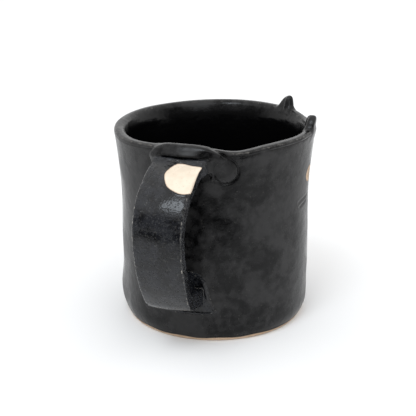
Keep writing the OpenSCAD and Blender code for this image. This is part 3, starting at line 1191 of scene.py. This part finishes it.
@dataclass
class Handle:
    """The strap and the collar at its lower root."""

    cup: CupForm
    form: StrapForm
    root: RootForm
    step: float = 0.42

    def ring(self) -> Array:
        """Points round the strap's section as rows of (across share, thick share, way across, way out)."""
        wide, deep = np.linspace(1, -1, 27), np.linspace(1, -1, 11)
        corner = np.linspace(0, np.pi / 2, 7)
        rows = [(s, 1, 0, 1) for s in wide[1:-1]]
        rows += [(-1, 1, -math.sin(a), math.cos(a)) for a in corner]
        rows += [(-1, s, -1, 0) for s in deep[1:-1]]
        rows += [(-1, -1, -math.cos(a), -math.sin(a)) for a in corner]
        rows += [(s, -1, 0, -1) for s in -wide[1:-1]]
        rows += [(1, -1, math.sin(a), -math.cos(a)) for a in corner]
        rows += [(1, s, 1, 0) for s in -deep[1:-1]]
        rows += [(1, 1, math.cos(a), math.sin(a)) for a in corner]
        return np.array(rows, float)

    def build_strap(self) -> bpy.types.Object:
        """Meshes the strap by carrying its section along the bend."""
        f, ring = self.form, self.ring()
        run = np.arange(1.6, f.total(), self.step)
        reach, height, heading = f.walk(run)
        run = run[(run < 50) | (reach > self.cup.radius - 2.6)]
        reach, height, heading = f.walk(run)
        half, out, back = f.thickness(run)
        middle, deep = (out + back) / 2, (out - back) / 2
        e, (wide_share, thick_share, way_across, way_out) = f.edge, ring.T
        across = wide_share * (half - e)[:, None] + e * way_across
        offset = middle[:, None] + thick_share * (deep - e)[:, None] + e * way_out
        lengths = np.repeat(run[:, None], len(ring), 1)
        shift = f.sides(run)[0][:, None]
        place = (lengths.ravel(), (across + shift).ravel(), offset.ravel())
        lift = f.bumps(*place).reshape(across.shape)
        turned = way_across * way_out
        corner = np.exp(-(((np.abs(turned) - 0.5) / 0.35) ** 2)) * (turned != 0)
        chips = np.maximum(f.chips.at(np.stack(place, 1)), 0).reshape(across.shape) * 3.0
        chips *= corner * ease(lengths, 14, 22)
        offset = offset + lift * np.where(way_out > 0, way_out, 0.4 * way_out)
        offset = offset - np.sign(way_out) * chips * 0.6
        across = across - np.sign(way_across) * chips * 0.6 + shift
        x = -(reach[:, None] + offset * np.sin(heading)[:, None])
        z = height[:, None] + offset * np.cos(heading)[:, None]
        points = np.stack([x, -across, z], -1).reshape(-1, 3)
        faces = grid_faces(len(run), len(ring), False, True)
        faces.append(tuple(range(len(ring))))
        faces.append(tuple(range((len(run) - 1) * len(ring), len(run) * len(ring)))[::-1])
        length, side, out = place
        from_side = np.abs(side - np.repeat(shift.ravel(), len(ring))) - np.repeat(half, len(ring))
        near = np.hypot(np.minimum(np.abs(from_side), 3), np.minimum(np.abs(out - f.half_thick), 3))
        edge = np.exp(-((near / 0.55) ** 2)) * ease(length, 6, 14)
        bare = f.spot(length, side, out)
        return make_piece("handle_strap_bent", points, faces, {"bare": bare, "edge": edge})

    def build_root(self) -> bpy.types.Object:
        """Meshes the collar that joins the strap's lower end to the wall."""
        cup, strap, root = self.cup, self.form, self.root

        def shape(p: Array) -> Array:
            """The collar smoothed into the wall and the strap, kept as a skin."""
            host = soft_min(cup.distance(p), strap.distance(p), root.merge(p))
            own = root.distance(p)
            joined = soft_min(own, host, 0.35) + 0.02
            bare_host = np.minimum(cup.distance(p), strap.distance(p))
            outside = np.where(bare_host - host > 0.004, -1.0, np.minimum(own - 0.6, 9.0))
            return np.maximum(np.maximum(joined, -(bare_host + 0.8)), outside)

        skin = Skin(0.34, 2)
        points, faces = skin.build(shape, (-58.5, -15.5, 12.0), (-38.0, 15.5, 34.5))
        marks = {"bare": np.full(len(points), GLAZED), "edge": skin.sharpness(shape, points) ** 2}
        return make_piece("lower_root_collar", points, faces, marks)


@dataclass
class Tail:
    """The tail rope over the handle's top end."""

    cup: CupForm
    strap: StrapForm
    form: TailForm

    def build(self) -> bpy.types.Object:
        """Meshes the tail as a skin that runs into the lip and stands off the wall elsewhere."""

        def shape(p: Array) -> Array:
            """The tail smoothed into the rim, kept as a skin."""
            host = np.minimum(self.cup.distance(p), self.strap.distance(p))
            own = self.form.distance(p)
            joined = soft_min(own, host, self.form.merge(p)) + 0.02
            return np.maximum(np.maximum(joined, -(host + 0.9)), own - self.form.merge(p))

        skin = Skin(0.34, 2)
        points, faces = skin.build(shape, (-50.0, -25.5, 69.0), (-33.0, 17.0, 90.5))
        marks = {"bare": np.full(len(points), GLAZED), "edge": skin.sharpness(shape, points) ** 2 * 0.8}
        return make_piece("tail_rope", points, faces, marks)


@dataclass
class Ears:
    """The two pinched ears on the lip."""

    cup: CupForm

    def build(self, node: str, toe: float, inward: float, height: float) -> bpy.types.Object:
        """Meshes one ear where its CAD node stands.

        Args:
            node: The ear's CAD node.
            toe: Swing that the fingers pushed it by, degrees.
            inward: +1 if the other ear lies at a greater swing, else -1.
            height: How far it stands above the lip, mm.

        Returns:
            The new piece.
        """
        low, high = span(node)
        form = EarForm(self.cup, swing_of(node) + toe, inward, height)

        def shape(p: Array) -> Array:
            """The ear smoothed into the lip, kept as a skin."""
            host, own = self.cup.distance(p), form.distance(p)
            joined = soft_min(own, host, form.join) + 0.02
            return np.maximum(np.maximum(joined, -(host + 0.9)), own - form.join + 0.02)

        skin = Skin(0.32, 3)
        points, faces = skin.build(shape, low - 7.0, high + np.array([7.0, 7.0, 2.0]))
        r, turn, z = polar(points)
        out, back = self.cup.under_lip(turn)
        # The ear's inner side counts as inside the cup: smoother glaze and painted shade.
        marks = {
            "bare": np.full(len(points), GLAZED),
            "edge": skin.sharpness(shape, points) ** 2 * 0.9,
            "pool_and_inside_shade": deep_inside((out + back) / 2 - r, self.cup.crown(turn) - z),
        }
        return make_piece(node + "_pinched", points, faces, marks)


# ---------------------------------------------------------------- studio


@dataclass(frozen=True)
class SoftLight:
    """A soft square light that faces the mug, placed by its azimuth from +X towards +Y and its elevation."""

    name: str
    azimuth: float
    elevation: float
    away: float
    size: float
    power: float
    tint: Colour = (1.0, 1.0, 1.0)
    in_gloss: bool = True
    aim_height: float = 0.045

    def hang(self) -> None:
        """Hangs the light at its distance in metres, with its size in metres and its power in watts."""
        light = bpy.data.lights.new(self.name, "AREA")
        light.shape, light.size, light.energy, light.color = "SQUARE", self.size, self.power, self.tint
        obj = stand(self.name, light)
        a, e = math.radians(self.azimuth), math.radians(self.elevation)
        way = Vector((math.cos(a) * math.cos(e), math.sin(a) * math.cos(e), math.sin(e)))
        obj.location = way * self.away + Vector((0, 0, self.aim_height))
        obj.rotation_mode = "QUATERNION"
        obj.rotation_quaternion = way.to_track_quat("Z", "Y")
        obj.visible_camera = False
        obj.visible_glossy = self.in_gloss


@dataclass(frozen=True)
class Studio:
    """The pale floor, the white room, its lights and the camera."""

    floor_tone: float = 0.785
    floor_reach: float = 6.0
    room: float = 1.17
    dim_room: float = 0.12
    dim_azimuth: float = -162.5
    card_radius: float = 0.42
    card_dark_to: float = 0.27
    card_away: float = 0.51
    card_azimuth: float = 188.0
    camera_at: tuple[float, float, float] = (-0.41667, -0.13138, 0.19587)
    heading: float = 17.90
    pitch: float = -18.843
    roll: float = 0.208
    lens: float = 88.89
    lights: tuple[SoftLight, ...] = (
        SoftLight("window", 171.0, 54.0, 1.2, 0.42, 3.4, (0.84, 0.92, 1.0)),
        SoftLight("door", 216.0, 36.0, 1.4, 0.3, 1.0, (0.88, 0.94, 1.0)),
        SoftLight("fill", 190.0, 55.0, 2.5, 2.0, 13.0, in_gloss=False),
    )

    def lay_floor(self) -> None:
        """Lays a wide pale floor under the mug."""
        r, tone = self.floor_reach, self.floor_tone
        mesh = bpy.data.meshes.new("studio_floor")
        mesh.from_pydata([(-r, -r, 0), (r, -r, 0), (r, r, 0), (-r, r, 0)], [], [(0, 1, 2, 3)])
        material = bpy.data.materials.new("pale_floor")
        b = open_nodes(material)
        grain = b.noise(b.add("TexCoord").outputs["Object"], 3.0, 2.0)
        colour = b.blend(grain, (tone, tone, tone, 1), (tone + 0.015,) * 3 + (1,))
        b.close(b.add("BsdfPrincipled", {"Base Color": colour, "Roughness": 0.9, "Specular IOR Level": 0.0}))
        mesh.materials.append(material)
        obj = stand("studio_floor", mesh)

    def light_room(self) -> None:
        """Fills the room with even white light, whose low part in front of the mug is dim to its gloss."""
        world = bpy.data.worlds.new("white_room")
        bpy.context.scene.world = world
        b = open_nodes(world)
        ray = b.add("TexCoord").outputs["Generated"]
        a = math.radians(self.dim_azimuth)
        level = b.vector("NORMALIZE", b.vector("MULTIPLY", ray, (1.0, 1.0, 0.0))[0])[0]
        ahead = b.vector("DOT_PRODUCT", level, (math.cos(a), math.sin(a), 0.0))["Value"]
        low = b.ramp(b.add("SeparateXYZ", {0: ray}).outputs["Z"], 0.68, 0.32)
        shaded = b.math("MULTIPLY", b.ramp(ahead, 0.0, 0.6), low)
        shaded = b.math("MULTIPLY", shaded, b.add("LightPath").outputs["Is Glossy Ray"])
        dim = b.ramp(shaded, 0.0, 1.0, self.room, self.dim_room * self.room)
        b.close(b.add("Background", {"Color": (1.0, 1.0, 1.0, 1.0), "Strength": dim}), "OutputWorld")

    def lay_shade_card(self) -> None:
        """Lays a soft-edged dark card in front of the mug that only its gloss can see: painted shade, a dark
        sheet on the floor standing for the shade in front of the mug, seen only in the glaze's reflections.
        """
        rings, sides = 10, 48
        turns = [2 * math.pi * j / sides for j in range(sides)]
        points = [(0.0, 0.0, 0.0)]
        for k in range(1, rings + 1):
            r = self.card_radius * k / rings
            points += [(r * math.cos(t), r * math.sin(t), 0.0) for t in turns]
        faces = [(0, 1 + j, 1 + (j + 1) % sides) for j in range(sides)]
        for k in range(rings - 1):
            a, c = 1 + k * sides, 1 + (k + 1) * sides
            faces += [(a + j, c + j, c + (j + 1) % sides, a + (j + 1) % sides) for j in range(sides)]
        mesh = bpy.data.meshes.new("shade_card")
        mesh.from_pydata(points, [], faces)
        material = bpy.data.materials.new("shade_card")
        b = open_nodes(material)
        away = b.vector("LENGTH", b.add("TexCoord").outputs["Object"])["Value"]
        open_share = b.ramp(away, self.card_dark_to, self.card_radius - 0.005)
        # The card's near-black colour is painted shade, seen only in reflections.
        shader = b.add("BsdfPrincipled", {
            "Base Color": (0.01, 0.01, 0.01, 1),
            "Roughness": 0.9,
            "Specular IOR Level": 0.0,
            "Alpha": b.math("SUBTRACT", 1.0, open_share),
        })
        b.close(shader)
        mesh.materials.append(material)
        obj = stand("shade_card", mesh)
        a = math.radians(self.card_azimuth)
        obj.location = (self.card_away * math.cos(a), self.card_away * math.sin(a), 0.001)
        obj.visible_camera = obj.visible_diffuse = obj.visible_shadow = False

    def stand_camera(self) -> None:
        """Stands the camera at its place and aims it."""
        a, p, roll = math.radians(self.heading), math.radians(self.pitch), math.radians(self.roll)
        ahead = Vector((math.cos(a) * math.cos(p), math.sin(a) * math.cos(p), math.sin(p)))
        right = Vector((math.sin(a), -math.cos(a), 0))
        up = right.cross(ahead)
        level_right = math.cos(roll) * right - math.sin(roll) * up
        level_up = math.cos(roll) * up + math.sin(roll) * right
        data = bpy.data.cameras.new("camera")
        data.lens, data.sensor_width = self.lens, 36.0
        data.clip_start, data.clip_end = 0.01, 50.0
        obj = stand("camera", data)
        turn = Matrix((level_right, level_up, -ahead)).transposed().to_4x4()
        obj.matrix_world = Matrix.Translation(self.camera_at) @ turn
        bpy.context.scene.camera = obj

    def set_up(self) -> None:
        """Builds the whole studio."""
        self.stand_camera()
        self.lay_floor()
        self.lay_shade_card()
        self.light_room()
        for light in self.lights:
            light.hang()
        bpy.context.scene.view_settings.view_transform = "Standard"
        bpy.context.scene.view_settings.look = "None"


def main() -> None:
    """Builds the mug piece by piece and stands it in the studio."""
    logging.basicConfig(level=logging.INFO, format="%(name)s %(message)s")
    wall_high, floor_high = span("wall_slab")[1], span("floor_slab")[1]
    outline = TailOutline()
    cup = CupForm(
        height=float(wall_high[2]),
        radius=float(wall_high[1]) - 3.1,
        rim_radius=float(wall_high[1]),
        thick=5.0,
        floor=float(floor_high[2]),
        tail=outline,
    )
    strap = StrapForm()
    kit = ShaderKit()
    satin = GlazedStoneware("black_satin_glaze").make(kit)
    gloss = GlazedStoneware(
        "black_gloss_glaze",
        glaze=(0.0010, 0.0012, 0.0018), cloud=(0.0100, 0.0110, 0.0140), thin=(0.24, 0.225, 0.20),
        clay=(0.69, 0.60, 0.49), clay_deep=(0.63, 0.54, 0.43),
        rough_low=0.15, rough_high=0.26, ior=1.44,
        patch=6.0, ripple=2.2, ripple_high=0.07, peel_high=0.075,
        speck_spacing=0.85, speck_cover=0.55, speck_strength=0.06, pit_depth=0.17,
        edge_cover=0.66, dash=1.3,
    ).make(kit)
    underside = GlazedStoneware("glazed_floor_bare_foot", rough_low=0.26, rough_high=0.38).make(kit)

    body = CupBody(cup)
    install(body.build_wall(), "wall_slab", Slot.SATIN, satin)
    install(body.build_floor(), "floor_slab", Slot.CLAY, underside)
    install(body.build_coil(), "corner_coil", Slot.SATIN, satin)
    handle = Handle(cup, strap, RootForm(cup))
    install(handle.build_strap(), "handle_strap", Slot.GLOSS, gloss)
    install(handle.build_root(), "lower_root_coil", Slot.GLOSS, gloss)
    tail = Tail(cup, strap, TailForm(cup, outline))
    install(tail.build(), "tail_band", Slot.SATIN, satin)
    ears = Ears(cup)
    for node in ("left_ear", "right_ear"):
        near_handle = swing_of(node) < FACE_MIDDLE
        toe, inward, height = (0.0, 1.0, 5.9) if near_handle else (0.9, -1.0, 6.7)
        install(ears.build(node, toe, inward, height), node, Slot.SATIN, satin)
    Studio().set_up()


if __name__ == "__main__":
    main()
